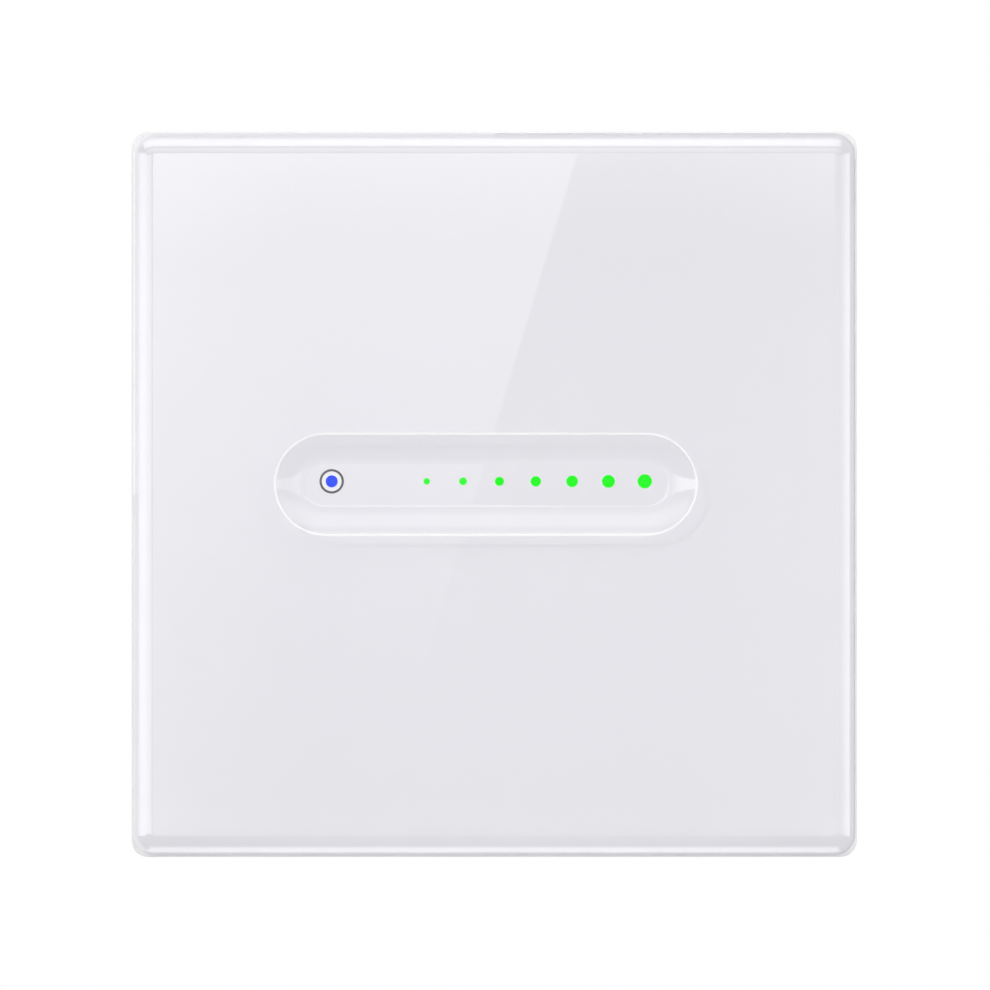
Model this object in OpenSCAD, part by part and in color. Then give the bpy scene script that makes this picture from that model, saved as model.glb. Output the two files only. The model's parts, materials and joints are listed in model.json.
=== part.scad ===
// Touch dimmer switch: a square glass panel with a ground slide groove, on a moulded
// carrier that clips to a wall-mounted dimmer module with rising-clamp terminals.
// X runs to the right, Z runs up and the front faces -Y. The origin is the middle of the
// mounting plate's back face, which lies on the wall.

/* [Glass panel] */
// How far the glass stands in from the carrier's edge
glass_inset = 0.2; // [0:0.1:1]
// Thickness of the glass
glass_t = 4; // [3.5:0.1:6]
// Corner radius of the glass, seen from the front
glass_corner_r = 2.6; // [2.5:0.1:8]
// Radius of the polished front edge
glass_edge_r = 2.4; // [0.5:0.1:2.4]
// Thickness of the enamel print on the back of the glass
print_t = 0.2; // [0.1:0.05:0.4]
// Thickness of the adhesive tape and of the diffuser film
film_t = 0.3; // [0.2:0.05:0.8]
// Width of the adhesive tape
tape_w = 8; // [4:0.5:12]

/* [Slide groove] */
// Length of the groove, rim to rim
groove_l = 50.3; // [40:0.1:60]
// Width of the groove, rim to rim
groove_w = 12.3; // [10:0.1:16]
// Depth of the groove
groove_depth = 0.8; // [0.6:0.1:1.8]
// Width of the flat floor
groove_floor_w = 4.7; // [3:0.1:6]
// Width of the softened rim
groove_rim_w = 0.3; // [0.1:0.05:0.5]
// How far the softened rim drops
groove_rim_drop = 0.1; // [0.05:0.05:0.2]
// Groove centre, to the right of the panel's centre
groove_x = -1; // [-5:0.1:5]
// Groove centre, above the panel's centre
groove_z = 1.2; // [-5:0.1:5]

/* [Lights] */
// Number of level lights
level_count = 7; // [3:1:7]
// Spacing of the level lights
level_pitch = 4.31; // [4:0.01:4.5]
// First level light, to the right of the panel's centre
level_x = -8; // [-9:0.1:-6]
// Height of the row of lights above the panel's centre
light_z = 1.55; // [-2:0.05:4]
// Smallest level light
level_d_min = 0.78; // [0.5:0.01:1.2]
// Largest level light
level_d_max = 1.7; // [1.2:0.01:2]
// Power light, to the right of the panel's centre
power_x = -19.27; // [-21:0.01:-15]
// Diameter of the power light
power_d = 1.43; // [1:0.01:2]
// Outer diameter of the printed ring
ring_d = 2.9; // [2.4:0.1:4]
// Line width of the printed ring
ring_line = 0.27; // [0.1:0.01:0.4]

/* [Panel carrier] */
// Room from the mounting plate's edge to the carrier's edge
rim_room = 5; // [4:0.1:8]
// Corner radius of the carrier
carrier_corner_r = 2; // [1.8:0.1:6]
// Thickness of the carrier's plate
carrier_t = 1.6; // [1:0.1:2]
// Wall of the carrier's rim
rim_t = 1.6; // [1:0.1:2.5]
// Gap between the rim and the wall
wall_gap = 0.3; // [0.1:0.1:0.6]
// Width of the lip that meets the back of the glass
lip_w = 0.9; // [0.6:0.1:1.5]
// Thickness of the stiffening ribs
rib_t = 0.8; // [0.6:0.1:1.2]
// Height of the stiffening ribs
rib_h = 1; // [0.5:0.1:1.1]
// Ribs above and below the window, either side of the middle
rib_x = 14; // [8:0.5:20]
// Ribs beside the window, either side of the middle
rib_z = 6.5; // [5:0.5:8]
// Length of the notch for levering the panel off
pry_l = 10; // [6:0.5:20]
// Height of the notch for levering the panel off
pry_h = 1.2; // [0.8:0.1:2]

/* [Panel clips] */
// Clip centre, in from the plate's side edge
clip_inset_x = 6; // [4:0.5:8]
// Clip centre, in from the plate's top or bottom edge
clip_inset_z = 7; // [5:0.5:10]
// Width of a clip and of the blade that it grips
clip_w = 6; // [4:0.5:8]
// Thickness of the clip's spring steel
clip_t = 0.4; // [0.3:0.05:0.5]
// Thickness of the carrier's blades
blade_t = 1.2; // [0.8:0.1:1.6]
// Clearance between a blade and its clip, each side
blade_fit = 0.05; // [0.02:0.01:0.1]
// Length of the riveted foot of a clip
clip_foot = 4.2; // [3.6:0.1:5]
// Diameter of the rivets
rivet_d = 1.8; // [1.2:0.1:2.2]

/* [Mounting plate] */
// Width of the plate beside the front cover
plate_room = 11.4; // [10:0.1:14]
// Thickness of the plate
plate_t = 1.2; // [0.8:0.1:1.5]
// Corner radius of the plate
plate_corner_r = 5; // [2:0.5:8]
// Distance between the wall box screws
box_screw_pitch = 60.3; // [60:0.1:63]
// Width of the screw slots
slot_w = 3.9; // [3.6:0.1:4.4]
// Length of the screw slots
slot_l = 6; // [5:0.1:7]

// Width of the beads pressed into the plate
bead_w = 2.4; // [1.6:0.1:3]
// Length of the beads
bead_l = 10; // [6:0.5:11]
// How far the beads stand out of the plate's front
bead_h = 0.4; // [0.2:0.05:0.6]
// Middle of the beads, in from the plate's edge
bead_inset = 3.4; // [2.6:0.1:3.6]
// Middle of the beads, either side of the plate's middle
bead_place = 11.5; // [11:0.5:12]

/* [Module case] */
// Width and height of the module in the wall box, from which the panel's size follows
module_w = 50; // [42:0.1:58]
// Depth of the module behind the wall's face
module_depth = 29; // [26:0.5:33]
// Wall of the case
case_wall = 1.5; // [1:0.1:1.8]
// Clearance round the case in the plate
case_fit = 0.2; // [0.1:0.05:0.4]
// Thickness of the front cover
cover_t = 1.2; // [1:0.1:2]
// How far the front cover laps over the plate
cover_lap = 1.6; // [1:0.1:1.7]
// Diameter of the case screws
case_screw_d = 2.5; // [2:0.1:2.6]
// Length of the case screws
case_screw_l = 12; // [8:0.5:16]
// Diameter of the bosses for the case screws
boss_d = 5.5; // [4.5:0.1:6]
// Land of the plate between the case and a plate screw
screw_land = 0.95; // [0.8:0.05:1.5]
// Chamfer round the back of the case
back_chamfer = 1; // [0.4:0.1:1.2]
// Height of the ribs that the power board rests on, above the middle
rest_z = 8; // [7.8:0.1:10]
// Width of the ventilation slots
vent_w = 1.2; // [0.8:0.1:1.6]
// Length of the ventilation slots
vent_l = 7; // [4:0.5:9]
// Spacing of the ventilation slots
vent_pitch = 3.2; // [2.6:0.1:4]
// Depth of the field that the terminals' holes are sunk in
field_depth = 0.5; // [0.2:0.05:0.7]
// Rim of that field beyond the outer holes
field_rim = 1.4; // [0.8:0.1:2]
// Depth of the dish round a wire entry
dish_depth = 0.7; // [0.3:0.05:1]
// Diameter of the dish round a wire entry
dish_d = 7.2; // [6.8:0.1:7.6]
// Thickness of the insulating sheet
sheet_t = 0.3; // [0.2:0.05:0.5]

/* [Sensor board] */
// How far the sensor board stands in from the front cover's edge
sensor_inset = 2.6; // [2:0.1:4]
// Height of the sensor board
sensor_h = 20; // [18:0.5:22]
// Thickness of the sensor board
sensor_t = 1; // [0.8:0.1:1.6]
// Thickness of the copper pads
electrode_t = 0.1; // [0.05:0.05:0.15]
// Height of the slider's pads
electrode_h = 8; // [6:0.5:9]
// Gap between the slider's pads
electrode_gap = 0.5; // [0.3:0.1:1]
// Diameter of the power pad
power_pad_d = 7.5; // [5:0.5:8]
// Gap between the panel and the sensor board
panel_gap = 0.2; // [0.1:0.05:0.5]
// Depth of the light mask's cells
mask_depth = 1.8; // [1.7:0.1:3]
// Width of the light mask
mask_h = 6; // [4:0.5:7]
// Length of a diode
led_l = 1.6; // [1:0.1:2]
// Width of a diode
led_w = 0.8; // [0.6:0.1:1.2]
// Height of a diode
led_h = 0.7; // [0.5:0.1:0.9]
// Diameter of the pins that hold the sensor board
stake_d = 1.4; // [1:0.1:2]
// Number of header pins
pin_count = 6; // [4:1:8]
// Spacing of the header pins
pin_pitch = 2; // [1.8:0.1:2.54]
// Width of a header pin
pin_w = 0.5; // [0.4:0.05:0.7]
// Gap between the ends of the header pins and the power board
pin_gap = 3.4; // [1:0.1:5]
// Touch chip: length and width
touch_chip_size = [9, 3.2]; // [2:0.1:10]
// Touch chip: height
touch_chip_h = 1.4; // [1:0.1:1.7]
// Gap between the touch chip and the pin in the sensor board's corner
touch_chip_gap = 2.8; // [0.5:0.1:6]
// Middle of the touch chip, below the sensor board's top edge
touch_chip_drop = 3.8; // [2.5:0.1:5]

/* [Power board] */
// Thickness of the power board
power_board_t = 1.6; // [1:0.1:2]
// Clearance round the power board
power_board_gap = 0.4; // [0.2:0.1:0.8]
// Radio board: width and height
radio_size = [16, 18]; // [10:0.5:20]
// Radio board: height of its middle
radio_z = -4; // [-6:0.5:-2]
// Length of the radio board left clear for the aerial
aerial_l = 5; // [3:0.5:6]
// Thickness of the radio board
radio_t = 0.8; // [0.6:0.1:1.2]
// Height of the radio's shield can
shield_h = 2.2; // [1.5:0.1:3]
// Diameter of the holes in the shield can
shield_hole_d = 1; // [0.6:0.1:1.4]
// Spacing of those holes
shield_hole_pitch = 2.6; // [2:0.1:2.8]
// Film capacitor: width, depth and height off the board
film_cap = [12.5, 6, 12]; // [4:0.5:14]
// Film capacitor: place to the side, as a share of the board's half width
film_cap_side = -0.53; // [-0.8:0.01:0.8]
// Gap between the film capacitor and the terminals' legs
film_cap_gap = 1.2; // [0.5:0.1:4]
// Electrolytic capacitor: diameter
can_d = 8; // [5:0.5:8]
// Electrolytic capacitor: height
can_h = 11.5; // [7:0.5:13]
// Electrolytic capacitor: place on the board, as shares of its half width
can_at = [0, 0.15]; // [-0.8:0.01:0.8]
// Choke: diameter of the drum core
choke_d = 10; // [6:0.5:10]
// Choke: height of the drum core
choke_h = 9; // [5:0.5:13]
// Choke: place on the board, as shares of its half width
choke_at = [0.55, -0.13]; // [-0.8:0.01:0.8]
// Varistor: diameter
varistor_d = 8; // [5:0.5:9]
// Varistor: spacing of the legs
varistor_pitch = 5; // [2:0.5:7]
// Varistor: thickness
varistor_t = 3.4; // [2:0.1:4]
// Varistor: place on the board, as shares of its half width
varistor_at = [0.01, -0.23]; // [-0.8:0.01:0.8]
// Fuse: diameter
fuse_d = 6.5; // [4:0.5:7]
// Fuse: height
fuse_h = 7; // [4:0.5:12]
// Fuse: place on the board, as shares of its half width
fuse_at = [0.51, 0.34]; // [-0.8:0.01:0.8]
// Bridge rectifier: width, depth and height
bridge = [10, 4, 8]; // [3:0.5:10]
// Bridge rectifier: place on the board, as shares of its half width
bridge_at = [-0.55, 0.11]; // [-0.8:0.01:0.8]
// Supply inductor: diameter
inductor_d = 6; // [4:0.5:6]
// Supply inductor: height
inductor_h = 7; // [4:0.5:12]
// Supply inductor: place on the board, as shares of its half width
inductor_at = [-0.51, 0.38]; // [-0.8:0.01:0.8]
// Supply chip: length and width
supply_chip_size = [5, 4]; // [2:0.1:8]
// Supply chip: height
supply_chip_h = 1.5; // [1:0.1:2]
// Supply chip: place on the board, as shares of its half width
supply_chip_at = [0.6, -0.08]; // [-0.8:0.01:0.8]
// Transistor: width, thickness and height of the moulded body
transistor = [8, 3.2, 11]; // [3:0.1:11]
// Transistors, either side of the middle
transistor_x = 5.5; // [5:0.5:6]
// Room behind the transistors for the heat sink
heat_sink_room = 4.5; // [3.5:0.1:5]
// Length of the transistors' legs
transistor_lift = 2.4; // [1.5:0.1:3]
// Centre of the transistors' screws, below their tops
sink_screw_drop = 3.2; // [2.5:0.1:4]
// Thickness of the heat sink's fins
fin_t = 1; // [0.6:0.1:1.4]
// Spacing of the fins beside the screws
fin_pitch = 2.4; // [2:0.1:3]
// Thickness of the heat sink
heat_sink_t = 1.5; // [1:0.1:2]
// Width of the heat sink
heat_sink_w = 24; // [22:0.5:25]
// Height of the heat sink
heat_sink_h = 13; // [12:0.5:14]
// Diameter of the heat sink's screws
sink_screw_d = 3; // [2:0.5:3]

/* [Terminals] */
// Number of poles
pole_count = 3; // [3:1:3]
// Spacing of the poles
pole_pitch = 8; // [7.8:0.1:8.2]
// Width of a clamp
clamp_w = 6.2; // [6:0.1:6.4]
// Length of a clamp along the wire
clamp_l = 5; // [4.5:0.1:6]
// Wall of a clamp
clamp_wall = 0.8; // [0.6:0.1:0.9]
// Thickness of the clamp's threaded side
clamp_nut_t = 1.6; // [1.2:0.1:2]
// Room for a wire in an open clamp
wire_room = 4.4; // [4.2:0.1:4.6]
// Travel of a clamp
clamp_travel = 3.6; // [3:0.1:3.8]
// Thickness of a contact bar
bar_t = 1; // [0.8:0.1:1.2]
// Diameter of a terminal screw
screw_d = 3.4; // [3:0.1:3.5]
// Running clearance of a terminal screw, on the radius
screw_fit = 0.05; // [0.02:0.01:0.1]
// Diameter of a terminal screw's head
head_d = 5; // [4.4:0.1:5]
// Height of a terminal screw's head
head_t = 1.8; // [1.4:0.1:2]
// Depth of the head below the case's back
head_recess = 3.4; // [1:0.1:4]
// Diameter of the access holes for the screws
access_d = 6; // [5.9:0.1:6.4]
// Wall of the terminal block
block_wall = 0.8; // [0.6:0.1:1.2]
// Outer wall at each end of the terminal block
block_end = 1; // [0.8:0.1:1.1]
// Lip of the terminal block in front of the clamps
block_lip = 2.4; // [1.8:0.1:3]
// Space behind the clamps for the end of a wire
wire_end = 3; // [2:0.1:4]
// Sliding clearance of a clamp in the block
clamp_slack = 0.15; // [0.1:0.05:0.3]

/* [Hidden] */
$fn = 48;
// Overlap that makes a cut run clean through
cut = 1;
// Air gap between pieces that nearly touch
air = 0.2;
plate_front = -plate_t;
cover_front = plate_front - cover_t;
sensor_back = cover_front - mask_depth;
sensor_front = sensor_back - sensor_t;
electrode_front = sensor_front - electrode_t;
film_back = electrode_front - panel_gap;
print_back = film_back - film_t;
glass_back = print_back - print_t;
carrier_back = film_back + carrier_t;
rim_back = -wall_gap;

block_w = (pole_count - 1) * pole_pitch + clamp_w + 2 * clamp_slack + 2 * block_end;
case_rear_in = module_depth - case_wall;
case_half_in = module_w / 2 - case_wall;
// The corners are chamfered as far as the terminal block between them lets them be
inner_chamfer = case_half_in - block_w / 2 - air;
// A wall of even thickness makes the outer chamfer larger by this share of the wall
module_chamfer = inner_chamfer + case_wall * (2 - sqrt(2));
case_screw_at = case_half_in - inner_chamfer / 2 - boss_d / 2 / sqrt(2);
plate_screw_at = (module_w - module_chamfer) / 2
    + (case_fit + screw_land + case_screw_d / 2) / sqrt(2);
cover_w = module_w + 2 * cover_lap;
cover_chamfer = cover_w - 2 * plate_screw_at - 1.6 * case_screw_d;
plate_w = cover_w + 2 * plate_room;
carrier_w = plate_w + 2 * rim_room;
glass_w = carrier_w - 2 * glass_inset;
clip_x = plate_w / 2 - clip_inset_x;
clip_z = plate_w / 2 - clip_inset_z;
sensor_w = cover_w - 2 * sensor_inset;
heat_sink_z = case_half_in - heat_sink_room;

head_top = module_depth - head_recess;
head_low = head_top - head_t;
clamp_top = head_low - air - clamp_travel;
bar_top = clamp_top - clamp_nut_t - air;
bar_low = bar_top - bar_t;
wire_low = bar_low - wire_room;
clamp_low = wire_low - clamp_wall;
block_floor = clamp_low - air;
power_rear = block_floor - block_wall;
power_front = power_rear - power_board_t;

block_low = -case_half_in;
clamp_z = block_low + block_lip + clamp_slack + clamp_l / 2;
block_high = clamp_z + clamp_l / 2 + wire_end + block_wall;
wire_w = clamp_w - 2 * clamp_wall;
bar_w = wire_w - 2 * air;
leg_t = 0.8;

level_last_x = level_x + (level_count - 1) * level_pitch;
light_hole_d = level_d_max + 0.3;
window_w = sensor_w + 1;
window_h = sensor_h + 1;
header_z = light_z + sensor_h / 2 - 3;
stake_inset = 1.8;
stake_x = sensor_w / 2 - stake_inset;
stake_z = sensor_h / 2 - stake_inset;
touch_chip_at = [
    groove_x - sensor_w / 2 + stake_inset + stake_d + touch_chip_gap + touch_chip_size[0] / 2,
    light_z + sensor_h / 2 - touch_chip_drop
];
contact_leg_z = block_high + air;
film_cap_at = [
    film_cap_side * case_half_in,
    contact_leg_z + leg_t + film_cap_gap + film_cap[1] / 2
];
header_w = pin_count * pin_pitch + 0.4;
header_h = 2.4;
clip_h = plate_front - carrier_back - 0.3;
press_post_d = 3;
press_post_at = [7, case_half_in - 4 - press_post_d / 2];
pin_front = sensor_front + air;
pin_rear = power_front - pin_gap;
socket_front = plate_front + 1;

// Shared shapes

// Extrudes an outline drawn in X and Z from one depth to a nearer one
module slab(rear, front) {
    translate([0, rear, 0])
        rotate([90, 0, 0])
            linear_extrude(rear - front)
                children();
}

// A box centred on X and Z, between two depths
module block(x, z, rear, front, at = [0, 0]) {
    slab(rear, front)
        translate(at)
            square([x, z], center = true);
}

// A round bar along Y, between two depths
module rod(d, rear, front, at = [0, 0]) {
    slab(rear, front)
        translate(at)
            circle(d = d);
}

// Turns a profile of radius and depth about an axis along Y, with depth 0 at y
module turned(y, at = [0, 0]) {
    translate([at[0], y, at[1]])
        rotate([90, 0, 0])
            rotate_extrude()
                children();
}

module rounded_square(w, h, r) {
    square([w - 2 * r, h], center = true);
    square([w, h - 2 * r], center = true);
    for (x = [-1, 1], z = [-1, 1])
        translate([x * (w / 2 - r), z * (h / 2 - r)])
            circle(r);
}

module octagon(w, chamfer) {
    a = w / 2;
    b = a - chamfer;
    polygon([[a, b], [b, a], [-b, a], [-a, b], [-a, -b], [-b, -a], [b, -a], [a, -b]]);
}

// Copies its children into the four corners
module corners(x, z) {
    for (i = [0, 1], j = [0, 1])
        mirror([i, 0, 0])
            mirror([0, 0, j])
                translate([x, 0, z])
                    children();
}

module at_level_lights() {
    for (i = [0 : level_count - 1])
        translate([level_x + i * level_pitch, light_z])
            children();
}

function level_d(i) = level_d_min + (level_d_max - level_d_min) * i / (level_count - 1);

function pole_x(i) = (i - (pole_count - 1) / 2) * pole_pitch;

// Panel

// Cross-section at the edge of the glass: the front outer corner is a quarter round
module glass_edge_profile() {
    difference() {
        square([glass_corner_r, glass_t]);
        translate([glass_corner_r - glass_edge_r, glass_t - glass_edge_r])
            difference() {
                square(glass_edge_r + cut);
                circle(glass_edge_r);
            }
    }
}

module glass_blank() {
    straight = glass_w - 2 * glass_corner_r;
    translate([-straight / 2, -straight / 2, 0])
        cube([straight, straight, glass_t]);
    for (turn = [0 : 90 : 270])
        rotate(turn) {
            translate([straight / 2, 0, 0])
                rotate([90, 0, 0])
                    linear_extrude(straight, center = true)
                        glass_edge_profile();
            translate([straight / 2, straight / 2, 0])
                rotate_extrude(angle = 90)
                    glass_edge_profile();
        }
}

// Half of the groove's cross-section, above its floor: flat, then a rising arc, then the rim
module groove_half_profile() {
    half = groove_w / 2;
    flat = groove_floor_w / 2;
    run = half - groove_rim_w - flat;
    rise = groove_depth - groove_rim_drop;
    arc_r = (run * run + rise * rise) / (2 * rise);
    translate([0, -groove_depth])
        square([flat, groove_depth + cut]);
    intersection() {
        translate([flat, arc_r - groove_depth])
            circle(arc_r);
        translate([flat, -groove_depth])
            square([run, groove_depth + cut]);
    }
    polygon([
        [flat + run, -groove_rim_drop], [half, 0], [half, cut], [flat + run, cut]
    ]);
}

module groove_cutter() {
    straight = groove_l - groove_w;
    rotate([90, 0, 90])
        linear_extrude(straight, center = true)
            union() {
                groove_half_profile();
                mirror([1, 0])
                    groove_half_profile();
            }
    for (side = [-1, 1])
        translate([side * straight / 2, 0, 0])
            rotate_extrude()
                groove_half_profile();
}

module glass_panel() {
    color("white", 0.5)
        translate([0, glass_back, 0])
            rotate([90, 0, 0])
                difference() {
                    glass_blank();
                    translate([groove_x, groove_z, glass_t])
                        groove_cutter();
                }
}

module print_layer() {
    print_w = carrier_w - 2 * lip_w - air;
    color("whitesmoke")
        slab(print_back, glass_back)
            difference() {
                rounded_square(print_w, print_w, carrier_corner_r);
                for (i = [0 : level_count - 1])
                    translate([level_x + i * level_pitch, light_z])
                        circle(d = level_d(i));
                translate([power_x, light_z])
                    difference() {
                        circle(d = ring_d);
                        circle(d = ring_d - 2 * ring_line);
                    }
                translate([power_x, light_z])
                    circle(d = power_d);
            }
}

module ring_mark() {
    color("dimgray")
        slab(print_back, glass_back)
            translate([power_x, light_z])
                difference() {
                    circle(d = ring_d);
                    circle(d = ring_d - 2 * ring_line);
                }
}

module level_windows() {
    color("lime")
        slab(print_back, glass_back)
            for (i = [0 : level_count - 1])
                translate([level_x + i * level_pitch, light_z])
                    circle(d = level_d(i));
}

module power_window() {
    color("royalblue")
        rod(power_d, print_back, glass_back, [power_x, light_z]);
}

module diffuser_film() {
    left = power_x - power_pad_d / 2;
    right = level_last_x + level_pitch / 2;
    color("ghostwhite")
        slab(film_back, print_back)
            translate([(left + right) / 2, light_z])
                rounded_square(right - left, mask_h, 1);
}

module adhesive_frame() {
    outer = carrier_w - 2 * lip_w - 2 * air;
    inner = outer - 2 * tape_w;
    color("gainsboro")
        slab(film_back, print_back)
            difference() {
                rounded_square(outer, outer, carrier_corner_r);
                rounded_square(inner, inner, carrier_corner_r);
            }
}

// The inner edge of the rim, where the ribs end
module carrier_inside() {
    rounded_square(carrier_w - 2 * rim_t, carrier_w - 2 * rim_t, 1);
}

module carrier_ribs() {
    frame_w = window_w + 2 * rib_t;
    frame_h = window_h + 2 * rib_t;
    slab(carrier_back + rib_h, carrier_back)
        difference() {
            union() {
                translate([groove_x, light_z])
                    rounded_square(frame_w, frame_h, 1);
                for (side = [-1, 1]) {
                    translate([side * rib_x, 0])
                        square([rib_t, carrier_w - rim_t], center = true);
                    translate([0, light_z + side * rib_z])
                        square([carrier_w - rim_t, rib_t], center = true);
                }
            }
            translate([groove_x, light_z])
                rounded_square(window_w, window_h, 1);
        }
}

module panel_carrier() {
    color("snow")
        difference() {
            union() {
                difference() {
                    slab(rim_back, film_back)
                        rounded_square(carrier_w, carrier_w, carrier_corner_r);
                    slab(rim_back + cut, carrier_back)
                        carrier_inside();
                    slab(carrier_back + cut, film_back - cut)
                        translate([groove_x, light_z])
                            rounded_square(window_w, window_h, 1);
                }
                slab(film_back, glass_back)
                    difference() {
                        rounded_square(carrier_w, carrier_w, carrier_corner_r);
                        rounded_square(
                            carrier_w - 2 * lip_w, carrier_w - 2 * lip_w,
                            carrier_corner_r
                        );
                    }
                carrier_ribs();
                corners(clip_x, clip_z)
                    block(
                        blade_t, clip_w,
                        plate_front - clip_t - 0.3, carrier_back
                    );
            }
            slab(rim_back + cut, rim_back - pry_h)
                translate([0, -carrier_w / 2])
                    square([pry_l, 4 * rim_t], center = true);
        }
}

// Base

module plate_outline() {
    difference() {
        rounded_square(plate_w, plate_w, plate_corner_r);
        octagon(module_w + 2 * case_fit, module_chamfer + case_fit);
        for (turn = [0 : 90 : 270])
            rotate(turn)
                translate([box_screw_pitch / 2, 0])
                    screw_slot();
        for (x = [-1, 1], z = [-1, 1]) {
            translate([x * plate_screw_at, z * plate_screw_at])
                circle(d = case_screw_d + 0.1);
            translate([x * rivet_x(), z * clip_z])
                circle(d = rivet_d + 0.1);
        }
    }
}

// Eight stiffening beads, two along each edge of the plate
module beads(w, l) {
    for (turn = [0 : 90 : 270], side = [-1, 1])
        rotate(turn)
            translate([plate_w / 2 - bead_inset, side * bead_place])
                rounded_square(w, l, w / 2 - 0.001);
}

// Pressed from the back: what is hollow behind stands out in front
module mounting_plate() {
    hollow_w = bead_w - 2 * bead_h;
    color("silver")
        difference() {
            union() {
                slab(0, plate_front)
                    plate_outline();
                slab(plate_front, plate_front - bead_h)
                    beads(bead_w, bead_l);
            }
            slab(cut, -bead_h)
                beads(hollow_w, bead_l - 2 * bead_h);
        }
}

module screw_slot() {
    straight = slot_l - slot_w;
    square([straight, slot_w], center = true);
    for (side = [-1, 1])
        translate([side * straight / 2, 0])
            circle(d = slot_w);
}

function rivet_x() = clip_x - blade_t / 2 - blade_fit - clip_t - clip_foot / 2;

// One clip, drawn from above: a foot, and two sprung legs with flared ends
module clip_leg() {
    inside = blade_t / 2 + blade_fit;
    flare = 0.5;
    polygon([
        [inside, 0], [inside + clip_t, 0], [inside + clip_t, clip_h - flare],
        [inside + clip_t + flare / 2, clip_h], [inside + flare / 2, clip_h],
        [inside, clip_h - flare]
    ]);
}

module panel_clips() {
    outside = blade_t / 2 + blade_fit + clip_t;
    color("lightsteelblue")
        corners(clip_x, clip_z)
            difference() {
                translate([0, plate_front, -clip_w / 2])
                    mirror([0, 1, 0])
                        linear_extrude(clip_w) {
                            translate([-outside - clip_foot, 0])
                                square([2 * outside + clip_foot, clip_t]);
                            clip_leg();
                            mirror([1, 0])
                                clip_leg();
                        }
                rod(
                    rivet_d + 0.1, plate_front + cut, plate_front - clip_t - cut,
                    [rivet_x() - clip_x, 0]
                );
            }
}

module clip_rivets() {
    head_h = 0.5;
    color("gray")
        corners(rivet_x(), clip_z)
            turned(0) {
                square([rivet_d / 2, plate_t + clip_t]);
                intersection() {
                    translate([0, plate_t + clip_t - rivet_d + head_h])
                        circle(rivet_d);
                    translate([0, plate_t + clip_t])
                        square(rivet_d);
                }
            }
}

// Bosses for the case screws, each run into the chamfered wall
module case_bosses() {
    corners(case_screw_at, case_screw_at)
        rod(boss_d, case_screw_l + 2, plate_front);
}

// Ribs on the side walls, on which the power board sits
module board_rests() {
    rest_w = 1.2;
    rest_reach = 1.8;
    for (side = [-1, 1], z = [-rest_z, rest_z])
        block(
            rest_reach, rest_w, case_rear_in + air, power_rear,
            [side * (case_half_in + air - rest_reach / 2), z]
        );
}

// Slots in both sides and the top of the case
module vent_slots() {
    vent_mid = (case_rear_in + power_rear) / 2;
    for (turn = [0, -90, 180])
        for (i = [-2 : 2])
            rotate([0, turn, 0])
                translate([module_w / 2, vent_mid, i * vent_pitch])
                    cube([4 * case_wall, vent_l, vent_w], center = true);
}

// Cuts along the eight back edges of the case
module back_edge_chamfers() {
    flat = module_w / 2;
    diagonal = (module_w - module_chamfer) / sqrt(2);
    for (i = [0 : 7])
        rotate([0, 45 * i, 0])
            translate([i % 2 == 0 ? flat : diagonal, module_depth, 0])
                rotate([0, 0, 45])
                    cube([sqrt(2) * back_chamfer, 4 * back_chamfer, module_w], center = true);
}

// Outline of the sunk field round the holes for the terminal screws
module terminal_field() {
    field_w = access_d + 2 * field_rim;
    rounded_square(
        (pole_count - 1) * pole_pitch + field_w, field_w, field_w / 2 - 0.001
    );
}

module rear_housing() {
    color("ivory")
        difference() {
            union() {
                difference() {
                    slab(module_depth, plate_front)
                        octagon(module_w, module_chamfer);
                    slab(case_rear_in, plate_front - cut)
                        octagon(2 * case_half_in, inner_chamfer);
                    vent_slots();
                    back_edge_chamfers();
                }
                intersection() {
                    union() {
                        case_bosses();
                        board_rests();
                    }
                    slab(module_depth, plate_front)
                        octagon(module_w - case_wall, module_chamfer - 0.3);
                }
            }
            corners(case_screw_at, case_screw_at)
                rod(case_screw_d + 0.1, case_screw_l + 1, plate_front - cut);
            slab(module_depth + cut, module_depth - field_depth)
                translate([0, clamp_z])
                    terminal_field();
            for (i = [0 : pole_count - 1]) {
                rod(access_d, module_depth + cut, case_rear_in - cut, [pole_x(i), clamp_z]);
                translate([pole_x(i), (wire_low + bar_low) / 2, -module_w / 2 - 0.01])
                    cylinder(d1 = dish_d, d2 = dish_d - 2 * dish_depth, h = dish_depth);
                block(
                    wire_w, 4 * case_wall, bar_low, wire_low,
                    [pole_x(i), -module_w / 2]
                );
            }
        }
}

// A countersunk hole in the front cover
module countersink(d) {
    head_r = 0.9 * d;
    depth = head_r - d / 2;
    translate([0, cover_front, 0])
        rotate([-90, 0, 0]) {
            translate([0, 0, -cut])
                cylinder(r = head_r, h = cut);
            cylinder(r1 = head_r, r2 = d / 2, h = depth);
            cylinder(d = d, h = cover_t + cut);
        }
}

module front_cover() {
    color("snow")
        difference() {
            union() {
                slab(plate_front, cover_front)
                    octagon(cover_w, cover_chamfer);
                translate([groove_x, 0, light_z])
                    corners(stake_x, stake_z) {
                        rod(2 * stake_d, cover_front, sensor_back);
                        rod(stake_d, cover_front, sensor_front);
                    }
                corners(press_post_at[0], press_post_at[1])
                    rod(press_post_d, power_front, plate_front);
            }
            corners(case_screw_at, case_screw_at)
                countersink(case_screw_d + 0.1);
            corners(plate_screw_at, plate_screw_at)
                countersink(case_screw_d + 0.1);
            block(
                header_w + 0.4, header_h + 0.4, plate_front + cut, cover_front - cut,
                [0, header_z]
            );
        }
}

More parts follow.
